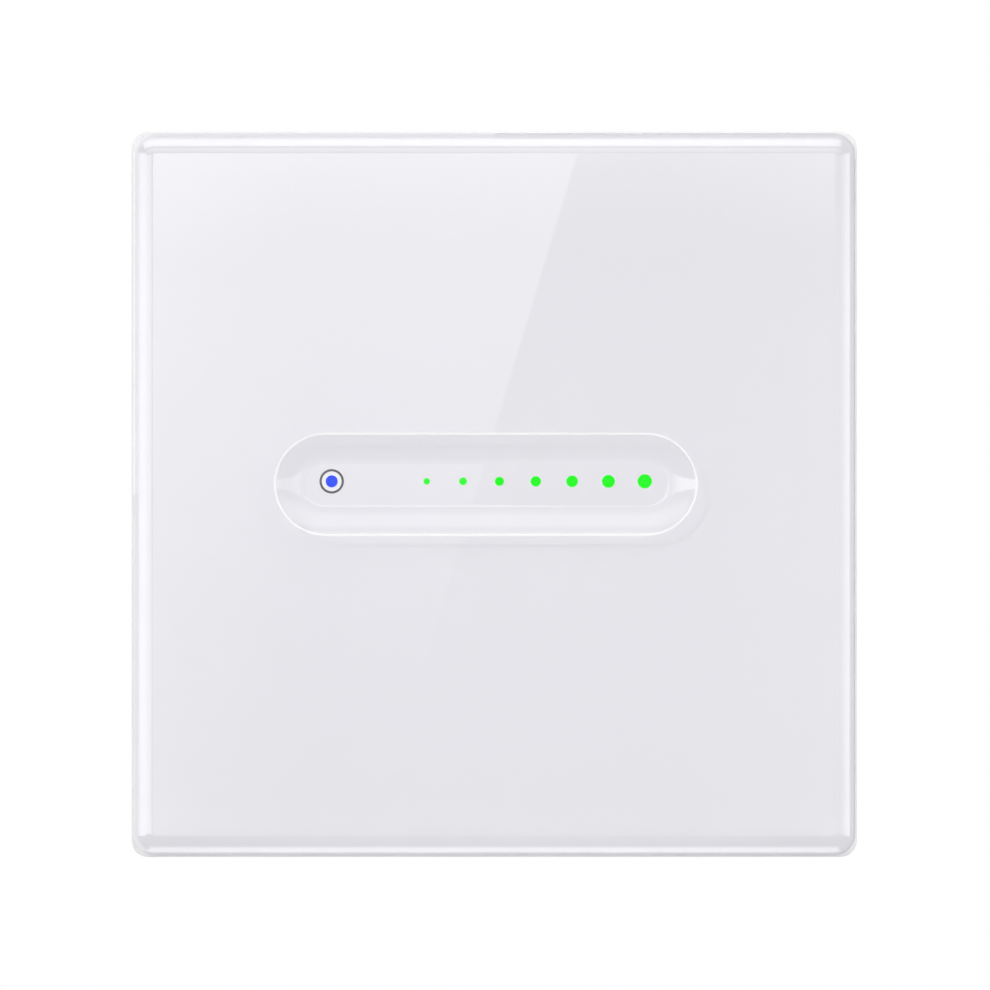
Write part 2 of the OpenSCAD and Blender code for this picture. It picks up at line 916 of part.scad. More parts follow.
// A countersunk screw with a cross recess, its head level with the front cover
module flat_screw(length) {
    head_r = 0.9 * case_screw_d;
    depth = head_r - case_screw_d / 2;
    recess_w = 0.5;
    difference() {
        turned(cover_front + length)
            polygon([
                [0, 0], [case_screw_d / 3, 0], [case_screw_d / 2, 0.4],
                [case_screw_d / 2, length - depth], [head_r, length], [0, length]
            ]);
        for (turn = [0, 90])
            rotate([0, turn, 0])
                block(1.2 * head_r, recess_w, cover_front + depth, cover_front - cut);
    }
}

module case_screws() {
    color("darkgray")
        corners(case_screw_at, case_screw_at)
            flat_screw(case_screw_l);
}

module plate_screws() {
    color("darkgray")
        corners(plate_screw_at, plate_screw_at)
            flat_screw(cover_t + plate_t);
}

module insulating_sheet() {
    color("khaki")
        slab(plate_front + sheet_t, plate_front)
            difference() {
                octagon(2 * case_half_in - 2 * air, inner_chamfer);
                for (x = [-1, 1], z = [-1, 1]) {
                    translate([x * case_screw_at, z * case_screw_at])
                        circle(d = boss_d + 2 * air);
                    translate([x * press_post_at[0], z * press_post_at[1]])
                        circle(d = press_post_d + 2 * air);
                }
                translate([0, header_z])
                    square([header_w + 0.8, header_h + 0.8], center = true);
            }
}

// Sensor board and what it carries

module sensor_board() {
    color("seagreen")
        slab(sensor_back, sensor_front)
            difference() {
                translate([groove_x, light_z])
                    rounded_square(sensor_w, sensor_h, 1);
                for (x = [-1, 1], z = [-1, 1])
                    translate([groove_x + x * stake_x, light_z + z * stake_z])
                        circle(d = stake_d + 0.1);
                at_level_lights()
                    circle(d = light_hole_d);
                translate([power_x, light_z])
                    circle(d = light_hole_d);
                header_holes();
            }
}

module header_holes() {
    for (i = [0 : pin_count - 1])
        translate([(i - (pin_count - 1) / 2) * pin_pitch, header_z])
            square(pin_w + 0.1, center = true);
}

// Chevron pads that mesh side by side, so a fingertip always covers two
module slider_electrodes() {
    half = (level_pitch - electrode_gap) / 2;
    skew = 1;
    tall = electrode_h / 2;
    color("peru")
        slab(sensor_front, electrode_front)
            at_level_lights()
                difference() {
                    polygon([
                        [-half - skew, -tall], [half - skew, -tall], [half, 0],
                        [half - skew, tall], [-half - skew, tall], [-half, 0]
                    ]);
                    circle(d = light_hole_d);
                }
}

module power_electrode() {
    color("peru")
        slab(sensor_front, electrode_front)
            translate([power_x, light_z])
                difference() {
                    circle(d = power_pad_d);
                    circle(d = light_hole_d);
                }
}

module level_leds() {
    color("palegreen")
        slab(sensor_back + led_h, sensor_back)
            at_level_lights()
                square([led_l, led_w], center = true);
}

module power_led() {
    color("lightblue")
        block(led_l, led_w, sensor_back + led_h, sensor_back, [power_x, light_z]);
}

module light_mask() {
    cell = [level_pitch - 1.3, mask_h - 2];
    left = power_x - level_pitch / 2;
    right = level_last_x + level_pitch / 2;
    color("white")
        slab(cover_front, sensor_back)
            difference() {
                translate([(left + right) / 2, light_z])
                    rounded_square(right - left, mask_h, 1);
                at_level_lights()
                    square(cell, center = true);
                translate([power_x, light_z])
                    square(cell, center = true);
            }
}

// A chip with legs along both long sides, on a face at the given depth
module chip(size, height, legs, face, direction, at) {
    leg_pitch = size[0] / legs;
    rear = max(face, face + direction * height);
    front = min(face, face + direction * height);
    leg_end = face + direction * 0.5;
    block(size[0], size[1], rear, front, at);
    for (side = [-1, 1], i = [0 : legs - 1])
        block(
            0.4, 1, max(face, leg_end), min(face, leg_end),
            [
                at[0] + (i - (legs - 1) / 2) * leg_pitch,
                at[1] + side * (size[1] / 2 + 0.4)
            ]
        );
}

module touch_chip() {
    color("dimgray")
        chip(
            touch_chip_size, touch_chip_h, 8, sensor_back, 1, touch_chip_at
        );
}

module header_pins() {
    color("gold")
        slab(pin_rear, pin_front)
            for (i = [0 : pin_count - 1])
                translate([(i - (pin_count - 1) / 2) * pin_pitch, header_z])
                    square(pin_w, center = true);
}

module header_body() {
    color("black")
        slab(plate_front + 0.4, sensor_back)
            difference() {
                translate([0, header_z])
                    square([header_w, header_h], center = true);
                header_holes();
            }
}

module header_socket() {
    color("black")
        difference() {
            block(header_w, header_h, power_front, socket_front, [0, header_z]);
            slab(pin_rear + 0.5, socket_front - cut)
                header_holes();
        }
}

// Power board and what it carries

module power_board() {
    color("darkolivegreen")
        slab(power_rear, power_front)
            difference() {
                octagon(2 * case_half_in - 2 * power_board_gap, inner_chamfer);
                for (x = [-1, 1], z = [-1, 1])
                    translate([x * case_screw_at, z * case_screw_at])
                        circle(d = boss_d + 2 * air);
            }
}

module radio_board() {
    color("midnightblue")
        block(
            radio_size[0], radio_size[1], power_front, power_front - radio_t,
            [0, radio_z]
        );
}

module radio_shield() {
    edge = 1;
    wall = 0.3;
    shield = [radio_size[0] - 2 * edge, radio_size[1] - aerial_l - edge];
    at = [0, radio_z - aerial_l / 2 + edge / 2];
    top = power_front - radio_t;
    color("silver")
        difference() {
            block(shield[0], shield[1], top, top - shield_h, at);
            block(
                shield[0] - 2 * wall, shield[1] - 2 * wall,
                top + cut, top - shield_h + wall, at
            );
            for (i = [-1.5 : 1.5], j = [-1, 1])
                rod(
                    shield_hole_d, top, top - shield_h - cut,
                    [at[0] + i * shield_hole_pitch, at[1] + j * shield_hole_pitch]
                );
        }
}

module supply_chip() {
    color("dimgray")
        chip(
            supply_chip_size, supply_chip_h, 4, power_front, -1,
            board_place(supply_chip_at)
        );
}

// A piece on the back of the power board, drawn as an outline and given a height
module on_board(height, at, lift = 0) {
    slab(power_rear + lift + height, power_rear + lift)
        translate(at)
            children();
}

// A place given as shares of the board's half width
function board_place(share) = share * case_half_in;

// Two or more straight legs under a piece
module legs(count, pitch, height, at) {
    for (i = [0 : count - 1])
        on_board(height, at)
            translate([(i - (count - 1) / 2) * pitch, 0])
                square(0.6, center = true);
}

module film_capacitor() {
    color("gold")
        on_board(film_cap[2], film_cap_at)
            rounded_square(film_cap[0], film_cap[1], 0.6);
}

module electrolytic_capacitor() {
    r = can_d / 2;
    color("darkslategray")
        mirror([0, 1, 0])
            turned(-power_rear, board_place(can_at))
                polygon([
                    [0, 0], [r, 0], [r, 1.2], [0.92 * r, 1.6], [r, 2],
                    [r, can_h - 0.5], [r - 0.5, can_h], [r - 1.2, can_h],
                    [r - 1.4, can_h - 0.3], [0, can_h - 0.3]
                ]);
}

module varistor() {
    lift = 1.5;
    at = board_place(varistor_at);
    color("royalblue") {
        translate([at[0], power_rear + lift + varistor_d / 2, at[1]])
            cylinder(d = varistor_d, h = varistor_t, center = true);
        legs(2, varistor_pitch, lift + varistor_d / 2, at);
    }
}

module fuse() {
    color("saddlebrown")
        on_board(fuse_h, board_place(fuse_at))
            circle(d = fuse_d);
}

module bridge_rectifier() {
    lift = 1.2;
    color("dimgray") {
        on_board(bridge[2], board_place(bridge_at), lift)
            square([bridge[0], bridge[1]], center = true);
        legs(4, bridge[0] / 4, lift + 1, board_place(bridge_at));
    }
}

module choke_core() {
    flange = 1.2;
    color("slategray") {
        on_board(flange, board_place(choke_at))
            circle(d = choke_d);
        on_board(choke_h, board_place(choke_at))
            circle(d = 0.45 * choke_d);
        on_board(flange, board_place(choke_at), choke_h - flange)
            circle(d = choke_d);
    }
}

module choke_winding() {
    flange = 1.2;
    color("chocolate")
        on_board(choke_h - 2 * flange, board_place(choke_at), flange)
            difference() {
                circle(d = 0.9 * choke_d);
                circle(d = 0.45 * choke_d);
            }
}

module supply_inductor() {
    color("darkslateblue")
        on_board(inductor_h, board_place(inductor_at))
            circle(d = inductor_d);
}

// A moulded transistor with its tab against the heat sink
module dimmer_transistor(x) {
    lift = transistor_lift;
    z = heat_sink_z - transistor[1] / 2;
    color("black") {
        difference() {
            on_board(transistor[2], [x, z], lift)
                square([transistor[0], transistor[1]], center = true);
            sink_screw_hole(x, sink_screw_d + 0.2);
        }
        legs(3, 2.3, lift + 1, [x, z]);
    }
}

function sink_screw_y() = power_rear + transistor_lift + transistor[2] - sink_screw_drop;

module sink_screw_hole(x, d) {
    translate([x, sink_screw_y(), heat_sink_z])
        cylinder(d = d, h = 20, center = true);
}

module transistor_left() {
    dimmer_transistor(-transistor_x);
}

module transistor_right() {
    dimmer_transistor(transistor_x);
}

// Fins either side of the middle: one inside its screw and two outside
function fin_places() = [
    fin_pitch / 2,
    heat_sink_w / 2 - fin_t / 2 - fin_pitch,
    heat_sink_w / 2 - fin_t / 2
];

module heat_sink() {
    foot = 3.2;
    color("lightgray")
        difference() {
            union() {
                on_board(heat_sink_h, [0, heat_sink_z + heat_sink_t / 2])
                    square([heat_sink_w, heat_sink_t], center = true);
                on_board(heat_sink_t, [0, heat_sink_z + foot / 2])
                    square([heat_sink_w, foot], center = true);
                for (side = [-1, 1], x = fin_places())
                    on_board(heat_sink_h, [side * x, heat_sink_z + foot / 2])
                        square([fin_t, foot], center = true);
            }
            for (side = [-1, 1])
                sink_screw_hole(side * transistor_x, sink_screw_d + 0.1);
        }
}

module heat_sink_screws() {
    front = heat_sink_z - transistor[1];
    head_h = 1.6;
    color("silver")
        for (side = [-1, 1])
            translate([side * transistor_x, sink_screw_y(), front])
                difference() {
                    union() {
                        cylinder(d = sink_screw_d, h = transistor[1] + heat_sink_t);
                        translate([0, 0, -head_h])
                            cylinder(d = 1.7 * sink_screw_d, h = head_h);
                    }
                    translate([0, 0, -head_h])
                        cube([4 * sink_screw_d, 0.7, head_h], center = true);
                }
}

// Terminals

module terminal_block() {
    chamber_low = clamp_z - clamp_l / 2 - clamp_slack;
    chamber = [clamp_w + 2 * clamp_slack, clamp_l + 2 * clamp_slack];
    color("dimgray")
        difference() {
            block(
                block_w, block_high - block_low, case_rear_in, power_rear,
                [0, (block_high + block_low) / 2]
            );
            for (i = [0 : pole_count - 1])
                translate([pole_x(i), 0, 0]) {
                    block(
                        chamber[0], chamber[1], case_rear_in + cut, block_floor,
                        [0, clamp_z]
                    );
                    translate([-wire_w / 2, wire_low, block_low - cut])
                        cube([
                            wire_w, wire_room,
                            block_high - block_wall - block_low + cut
                        ]);
                    translate([-bar_w / 2 - 0.05, bar_low - 0.05, chamber_low - 0.9])
                        cube([bar_w + 0.1, bar_t + 0.1, block_high - chamber_low + 2]);
                }
        }
}

// Each contact is a bar under its screw, bent down to the power board
module terminal_contacts() {
    bar_end = clamp_z - clamp_l / 2 - clamp_slack - 0.8;
    color("gold")
        for (i = [0 : pole_count - 1])
            translate([pole_x(i), 0, 0]) {
                translate([-bar_w / 2, bar_low, bar_end])
                    cube([bar_w, bar_t, contact_leg_z + leg_t - bar_end]);
                block(
                    bar_w / 2, leg_t, bar_low + 0.1, power_rear,
                    [0, contact_leg_z + leg_t / 2]
                );
            }
}

module terminal_screw(i) {
    tip = bar_top + 0.05;
    length = head_top - tip;
    color("silver")
        difference() {
            mirror([0, 1, 0])
                turned(-tip, [pole_x(i), clamp_z])
                    polygon([
                        [0, 0], [screw_d / 2 - 0.5, 0], [screw_d / 2, 0.5],
                        [screw_d / 2, length - head_t], [head_d / 2, length - head_t],
                        [head_d / 2, length - 0.3], [head_d / 2 - 0.3, length],
                        [0, length]
                    ]);
            for (turn = [0, 90])
                translate([pole_x(i), head_top, clamp_z])
                    rotate([0, turn, 0])
                        cube([0.8 * head_d, 2, 0.8], center = true);
        }
}

module terminal_screw_line() {
    terminal_screw(0);
}

module terminal_screw_neutral() {
    terminal_screw(1);
}

module terminal_screw_load() {
    terminal_screw(2);
}

// A rising clamp: a square ring round the wire and the contact, with teeth on its floor
module terminal_clamp(i) {
    window_top = clamp_top - clamp_nut_t;
    color("goldenrod")
        translate([pole_x(i), 0, clamp_z])
            difference() {
                block(clamp_w, clamp_l, clamp_top, clamp_low);
                block(wire_w, clamp_l + cut, window_top, wire_low);
                rod(screw_d + 2 * screw_fit, clamp_top + cut, window_top - cut);
                for (z = [-1.5, 0, 1.5])
                    translate([0, wire_low, z])
                        rotate([45, 0, 0])
                            cube([wire_w, 0.4, 0.4], center = true);
            }
}

module terminal_clamp_line() {
    terminal_clamp(0);
}

module terminal_clamp_neutral() {
    terminal_clamp(1);
}

module terminal_clamp_load() {
    terminal_clamp(2);
}

glass_panel();
print_layer();
ring_mark();
level_windows();
power_window();
diffuser_film();
adhesive_frame();
panel_carrier();
mounting_plate();
panel_clips();
clip_rivets();
rear_housing();
front_cover();
case_screws();
plate_screws();
insulating_sheet();
sensor_board();
slider_electrodes();
power_electrode();
level_leds();
power_led();
light_mask();
touch_chip();
header_pins();
header_body();
header_socket();
power_board();
radio_board();
radio_shield();
supply_chip();
film_capacitor();
electrolytic_capacitor();
varistor();
fuse();
bridge_rectifier();
choke_core();
choke_winding();
supply_inductor();
transistor_left();
transistor_right();
heat_sink();
heat_sink_screws();
terminal_block();
terminal_contacts();
terminal_screw_line();
terminal_screw_neutral();
terminal_screw_load();
terminal_clamp_line();
terminal_clamp_neutral();
terminal_clamp_load();
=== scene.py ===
"""Looks of the touch dimmer switch: its glass, print, lights, mouldings and metal."""

import json
import math

import bmesh
import bpy
from mathutils import Matrix, Vector


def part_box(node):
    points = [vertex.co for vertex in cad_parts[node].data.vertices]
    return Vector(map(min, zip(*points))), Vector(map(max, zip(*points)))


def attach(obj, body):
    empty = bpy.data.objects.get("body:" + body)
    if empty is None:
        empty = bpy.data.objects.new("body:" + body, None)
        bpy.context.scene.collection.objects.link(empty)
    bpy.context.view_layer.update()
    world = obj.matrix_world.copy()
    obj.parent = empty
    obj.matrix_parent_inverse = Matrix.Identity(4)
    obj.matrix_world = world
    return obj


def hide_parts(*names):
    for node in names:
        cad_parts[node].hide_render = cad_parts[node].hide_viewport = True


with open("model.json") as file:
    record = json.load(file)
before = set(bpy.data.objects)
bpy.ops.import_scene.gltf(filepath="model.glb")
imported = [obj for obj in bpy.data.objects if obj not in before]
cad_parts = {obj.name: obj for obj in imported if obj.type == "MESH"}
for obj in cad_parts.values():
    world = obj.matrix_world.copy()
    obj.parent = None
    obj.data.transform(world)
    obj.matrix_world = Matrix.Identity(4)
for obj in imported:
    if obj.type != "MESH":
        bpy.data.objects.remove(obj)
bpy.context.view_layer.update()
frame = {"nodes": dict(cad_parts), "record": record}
MM = 0.001


class Value:
    """An output socket that takes part in shader maths."""

    def __init__(self, finish, socket):
        self.finish = finish
        self.socket = socket

    def maths(self, operation, *others):
        inputs = dict(enumerate((self, *others)))
        return self.finish.add("ShaderNodeMath", {"operation": operation}, inputs)

    def __add__(self, other):
        return self.maths("ADD", other)

    __radd__ = __add__

    def __sub__(self, other):
        return self.maths("SUBTRACT", other)

    def __rsub__(self, other):
        return self.finish.add(
            "ShaderNodeMath", {"operation": "SUBTRACT"}, {0: other, 1: self}
        )

    def __mul__(self, other):
        return self.maths("MULTIPLY", other)

    __rmul__ = __mul__

    def __truediv__(self, other):
        return self.maths("DIVIDE", other)

    def __pow__(self, other):
        return self.maths("POWER", other)

    def __gt__(self, other):
        return self.maths("GREATER_THAN", other)

    def __lt__(self, other):
        return self.maths("LESS_THAN", other)

    def __abs__(self):
        return self.maths("ABSOLUTE")

    def smooth(self, start, end, low=0.0, high=1.0):
        """This value carried from start..end to low..high along an S."""
        return self.finish.add(
            "ShaderNodeMapRange",
            {"interpolation_type": "SMOOTHSTEP"},
            {"Value": self, 1: start, 2: end, 3: low, 4: high},
        )


class Finish:
    """A material, or the world, while its nodes are made."""

    def __init__(self, owner):
        owner.use_nodes = True
        self.owner = owner
        self.tree = owner.node_tree
        self.tree.nodes.clear()

    def add(self, kind, settings=None, inputs=None, output=0):
        node = self.tree.nodes.new(kind)
        for name, setting in (settings or {}).items():
            setattr(node, name, setting)
        for key, given in (inputs or {}).items():
            socket = node.inputs[key]
            if isinstance(given, Value):
                self.tree.links.new(given.socket, socket)
            else:
                socket.default_value = given
        return Value(self, node.outputs[output]) if node.outputs else None

    def place(self, scale=(1, 1, 1), move=(0, 0, 0)):
        """The point on the piece, in its own metres."""
        point = self.add("ShaderNodeTexCoord", output="Object")
        if scale == (1, 1, 1) and move == (0, 0, 0):
            return point
        return self.add(
            "ShaderNodeMapping", None,
            {"Vector": point, "Scale": scale, "Location": move},
        )

    def axis(self, letter):
        split = self.add("ShaderNodeSeparateXYZ", None, {0: self.place()}, output=letter)
        return split

    def noise(self, per_mm, detail=2.0, scale=(1, 1, 1), roughness=0.5):
        """Cloudy noise from 0 to 1 with about this many lumps in a millimetre."""
        return self.add(
            "ShaderNodeTexNoise", None,
            {
                "Vector": self.place(scale), "Scale": per_mm / MM, "Detail": detail,
                "Roughness": roughness,
            },
        )

    def mix(self, share, first, second):
        """A colour between two."""
        return self.add(
            "ShaderNodeMix", {"data_type": "RGBA"},
            {0: share, 6: solid(first), 7: solid(second)}, output=2,
        )

    def bump(self, height, rise_mm, strength=1.0):
        return self.add(
            "ShaderNodeBump", None,
            {"Height": height, "Distance": rise_mm * MM, "Strength": strength},
            output="Normal",
        )

    def principled(self, inputs):
        return self.add("ShaderNodeBsdfPrincipled", None, {
            key: solid(given) if "Color" in key else given
            for key, given in inputs.items()
        })

    def done(self, shader):
        self.add("ShaderNodeOutputMaterial", None, {"Surface": shader})
        return self.owner


def solid(colour):
    """A colour socket's four numbers from three, or the link as it is."""
    if isinstance(colour, Value):
        return colour
    return (*colour[:3], 1.0)


def srgb(red, green, blue):
    """Linear colour from the 0 to 255 numbers that a screen shows."""
    def linear(level):
        level /= 255
        return level / 12.92 if level <= 0.04045 else ((level + 0.055) / 1.055) ** 2.4
    return (linear(red), linear(green), linear(blue))


def shade(colour, factor):
    return tuple(min(1.0, part * factor) for part in colour)


def new_finish(name):
    return Finish(bpy.data.materials.new(name))


# Finishes of the panel

ENAMEL = (0.870, 0.862, 0.896)
PAINTED_GLOW = (0.93, 0.93, 0.95)
GLASS_IOR = 1.5
LAMPS_THROUGH = 0.75
FROST = (0.89, 0.89, 0.89)


def lit_glass(name, haze, lamps_through):
    """Clear glass that lamps shine through, with a share of white haze on its surface."""
    f = new_finish(name)
    glass = f.add("ShaderNodeBsdfGlass", None, {
        "Color": (1, 1, 1, 1), "Roughness": 0.0, "IOR": GLASS_IOR,
    })
    if haze:
        frost = f.add("ShaderNodeBsdfDiffuse", None, {"Color": (*FROST, 1)})
        glass = f.add("ShaderNodeMixShader", None, {0: haze, 1: glass, 2: frost})
    path = f.add("ShaderNodeLightPath", output="Is Shadow Ray")
    clear = f.add("ShaderNodeBsdfTransparent", None, {
        "Color": (lamps_through, lamps_through, lamps_through, 1),
    })
    return f.done(f.add("ShaderNodeMixShader", None, {0: path, 1: glass, 2: clear}))


def fired_enamel():
    """White enamel on the back of the glass, with a painted glow: paler in a small disc round the lit
    power window.
    """
    f = new_finish("fired_enamel")
    low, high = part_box("power_window")
    centre = (low + high) / 2
    away_x = f.axis("X") - centre.x
    away_z = f.axis("Z") - centre.z
    away = (away_x * away_x + away_z * away_z) ** 0.5
    # Painted light: the enamel turns paler round the power window, as if lit by the diode behind it
    inside = away < 1.3 * MM
    drift = f.noise(0.04)
    tone = f.mix(drift, shade(ENAMEL, 0.997), shade(ENAMEL, 1.003))
    tone = f.mix(inside, tone, PAINTED_GLOW)
    return f.done(f.principled({
        "Base Color": tone, "Roughness": f.noise(2.0).smooth(0, 1, 0.55, 0.7),
        "Specular IOR Level": 0.0,
    }))


def lit_window(name, colour, strength):
    """Translucent ink with a diode behind it, even over its width."""
    f = new_finish(name)
    glow = f.mix(f.noise(3.0), shade(colour, 0.99), colour)
    return f.done(f.principled({
        "Base Color": (0.0, 0.0, 0.0), "Roughness": 0.5, "Specular IOR Level": 0.0,
        "Emission Color": glow, "Emission Strength": strength,
    }))


# Finishes of the mouldings, boards and metal

def moulded(name, colour, rough=0.45, grain=7.0, rise=0.004, drift=0.015):
    """Moulded plastic with an eroded grain and a faint drift of its tone."""
    f = new_finish(name)
    pits = f.noise(grain, 3.0)
    tone = f.mix(f.noise(0.12), shade(colour, 1 - drift), shade(colour, 1 + drift))
    return f.done(f.principled({
        "Base Color": tone, "Roughness": pits.smooth(0.2, 0.8, rough - 0.06, rough + 0.08),
        "Normal": f.bump(pits, rise),
    }))


def plated(name, colour, rough=0.3, rolled=(1, 1, 1), tint=(1.0, 0.985, 0.95)):
    """Plated metal: soft clouds of tint and polish, and the fine lines of its rolling or turning."""
    f = new_finish(name)
    cloud = f.noise(0.12)
    lines = f.noise(9.0, 1.0, rolled)
    warm = tuple(part * warmth for part, warmth in zip(colour, tint))
    polish = cloud.smooth(0.2, 0.8, rough - 0.025, rough + 0.035)
    return f.done(f.principled({
        "Base Color": f.mix(cloud.smooth(0.3, 0.8), colour, warm), "Metallic": 1.0,
        "Roughness": polish + lines * 0.06, "Normal": f.bump(lines, 0.0004),
    }))


TRACK_PITCH = 1.5
TRACK_RUN = 6.3
TRACK_HALF = 0.15
VIA_R = 0.3


def solder_mask(name, colour):
    """Lacquered board: tracks at right angles, with vias, show through the mask as paler, raised lines."""
    f = new_finish(name)
    across, up = (f.axis(letter) * (1 / MM) for letter in "XZ")

    def chance(column, row, seed):
        cell = f.add("ShaderNodeCombineXYZ", None, {
            0: column.maths("FLOOR"), 1: row.maths("FLOOR"), 2: seed,
        })
        return f.add("ShaderNodeTexWhiteNoise", None, {"Vector": cell}, output="Value")

    def from_middle(lane):
        return abs(lane.maths("FRACT") - 0.5)

    def tracks(along, beside, seed):
        lane = beside / TRACK_PITCH
        copper = from_middle(lane).smooth(TRACK_HALF, TRACK_HALF + 0.03, 1, 0)
        return copper * (chance(along / TRACK_RUN, lane, seed) > 0.45)

    column, row = across / TRACK_PITCH, up / TRACK_PITCH
    away = (from_middle(column) ** 2 + from_middle(row) ** 2) ** 0.5
    vias = away.smooth(VIA_R, VIA_R + 0.03, 1, 0) * (chance(column, row, 3) > 0.86)
    line = tracks(across, up, 1).maths("MAXIMUM", tracks(up, across, 2)).maths("MAXIMUM", vias)
    tone = f.mix(line, colour, shade(colour, 1.7))
    return f.done(f.principled({
        "Base Color": tone, "Roughness": f.noise(5.0).smooth(0, 1, 0.24, 0.36),
        "Coat Weight": 0.25, "Coat Roughness": 0.12, "Normal": f.bump(line, 0.02),
    }))


def wound_wire():
    """Enamelled wire, wound in turns a third of a millimetre apart, with painted shade between turns and
    painted light on their crests.
    """
    f = new_finish("wound_wire")
    turns = (f.axis("Y") * (2 * math.pi / (0.35 * MM))).maths("SINE")
    # Painted shade and light: the gaps between turns are darker and the crests of the turns paler
    tone = f.mix(turns.smooth(-1, 1), (0.28, 0.09, 0.03), (0.72, 0.30, 0.12))
    return f.done(f.principled({
        "Base Color": tone, "Metallic": 1.0, "Roughness": f.noise(4.0).smooth(0, 1, 0.22, 0.35),
        "Normal": f.bump(turns, 0.05),
    }))


def amber_film():
    f = new_finish("amber_film")
    cloud = f.noise(0.3)
    return f.done(f.principled({
        "Base Color": f.mix(cloud, (0.62, 0.36, 0.08), (0.72, 0.45, 0.12)),
        "Roughness": cloud.smooth(0.2, 0.8, 0.16, 0.28), "Coat Weight": 0.4,
    }))


WHITE_PLASTIC = (0.80, 0.80, 0.81)

FINISHES = {
    "clear_glass": lit_glass("clear_glass", 0.0, LAMPS_THROUGH),
    "white_enamel": fired_enamel(),
    "grey_ink": moulded("grey_ink", srgb(84, 84, 86), 0.6, rise=0.001),
    "green_window": lit_window("green_window", (0.0, 0.93, 0.0), 1.05),
    "blue_window": lit_window("blue_window", (0.0, 0.052, 0.88), 1.05),
    "diffuser": moulded("frosted_film", (0.86, 0.86, 0.84), 0.55, 12.0, 0.002),
    "foam_tape": moulded("foam_tape", (0.60, 0.61, 0.62), 0.8, 5.0, 0.02, 0.05),
    "carrier_plastic": moulded("carrier_plastic", WHITE_PLASTIC),
    "zinc_steel": plated("zinc_steel", (0.58, 0.59, 0.61), 0.33, (0.04, 1, 1)),
    "spring_steel": plated("spring_steel", (0.62, 0.63, 0.66), 0.26, (1, 0.05, 1)),
    "rivet_steel": plated("rivet_steel", (0.66, 0.66, 0.67), 0.3),
    "case_plastic": moulded("case_plastic", (0.77, 0.77, 0.75), 0.48, 6.0, 0.005),
    "cover_plastic": moulded("cover_plastic", (0.79, 0.79, 0.79), 0.46),
    "screw_steel": plated("screw_steel", (0.66, 0.66, 0.68), 0.24),
    "amber_film": amber_film(),
    "board_green": solder_mask("board_green", (0.012, 0.13, 0.045)),
    "board_blue": solder_mask("board_blue", (0.010, 0.035, 0.18)),
    "bare_copper": plated("tinned_copper", (0.86, 0.66, 0.42), 0.28, tint=(0.9, 0.85, 0.8)),
    "led_green": moulded("clear_diode", (0.72, 0.80, 0.70), 0.2, 4.0, 0.001),
    "led_blue": moulded("blue_diode", (0.70, 0.78, 0.88), 0.2, 4.0, 0.001),
    "mask_plastic": moulded("mask_plastic", (0.84, 0.84, 0.84), 0.5),
    "chip_resin": moulded("chip_resin", (0.022, 0.022, 0.024), 0.55, 9.0, 0.004, 0.1),
    "pin_gold": plated("pin_gold", (0.95, 0.74, 0.34), 0.2),
    "header_plastic": moulded("header_plastic", (0.015, 0.015, 0.016), 0.42, drift=0.1),
    "shield_tin": plated("shield_tin", (0.74, 0.74, 0.73), 0.25, (1, 1, 0.05)),
    "film_case": moulded("film_case", (0.72, 0.50, 0.05), 0.35, 4.0, 0.002),
    "can_sleeve": moulded("can_sleeve", (0.020, 0.028, 0.045), 0.25, 2.0, 0.004, 0.1),
    "varistor_coat": moulded("varistor_coat", (0.03, 0.12, 0.42), 0.28, 1.2, 0.03, 0.06),
    "fuse_case": moulded("fuse_case", (0.14, 0.045, 0.02), 0.35, 3.0, 0.003),
    "ferrite": moulded("ferrite", (0.055, 0.055, 0.06), 0.62, 5.0, 0.01, 0.12),
    "enamelled_wire": wound_wire(),
    "inductor_sleeve": moulded("inductor_sleeve", (0.02, 0.02, 0.025), 0.25, 2.0, 0.004),
    "sink_aluminium": plated("sink_aluminium", (0.62, 0.63, 0.64), 0.36, (0.05, 1, 1)),
    "block_plastic": moulded("block_plastic", (0.035, 0.035, 0.038), 0.5, 5.0, 0.006, 0.1),
    "contact_brass": plated("contact_brass", (0.86, 0.66, 0.32), 0.26, (1, 1, 0.06)),
    "clamp_brass": plated("clamp_brass", (0.80, 0.62, 0.30), 0.3, (1, 1, 0.1)),
}
SLOT_OF = {sub["node"]: sub["material_slot"] for sub in frame["record"]["subparts"]}
BODY_OF = {
    node: body
    for body, members in frame["record"]["behaviour"]["bodies"].items()
    for node in members
}

for node, cad in frame["nodes"].items():
    cad.data.materials.clear()
    cad.data.materials.append(FINISHES[SLOT_OF[node]])


# Making pieces

def new_piece(name, bm, node, extra=()):
    """An object from a bmesh that rides with a CAD node, wears its finish and replaces it."""
    mesh = bpy.data.meshes.new(name)
    bm.to_mesh(mesh)
    bm.free()
    piece = bpy.data.objects.new(name, mesh)
    bpy.context.scene.collection.objects.link(piece)
    mesh.materials.append(FINISHES[SLOT_OF[node]])
    for finish in extra:
        mesh.materials.append(finish)
    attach(piece, BODY_OF[node])
    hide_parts(node)
    return piece


def softened(node, width, segments=2, sharp=28):
    """A copy of a CAD node with its sharp edges rounded off, which stands in its place."""
    bm = bmesh.new()
    bm.from_mesh(frame["nodes"][node].data)
    bmesh.ops.remove_doubles(bm, verts=bm.verts, dist=0.004 * MM)
    bmesh.ops.dissolve_limit(
        bm, angle_limit=math.radians(1.5), verts=bm.verts, edges=bm.edges
    )
    corners = [
        edge for edge in bm.edges
        if len(edge.link_faces) == 2 and edge.calc_face_angle() > math.radians(sharp)
    ]
    bmesh.ops.bevel(
        bm, geom=corners, offset=width * MM, segments=segments, profile=0.5,
        affect="EDGES", clamp_overlap=True, material=-1,
    )
    for face in bm.faces:
        face.smooth = True
    for edge in bm.edges:
        if len(edge.link_faces) == 2:
            edge.smooth = edge.calc_face_angle() < math.radians(50)
    piece = new_piece(node + "_finished", bm, node)
    lean = piece.modifiers.new("flats_lead", "WEIGHTED_NORMAL")
    lean.keep_sharp = True
    return piece


# The glass panel

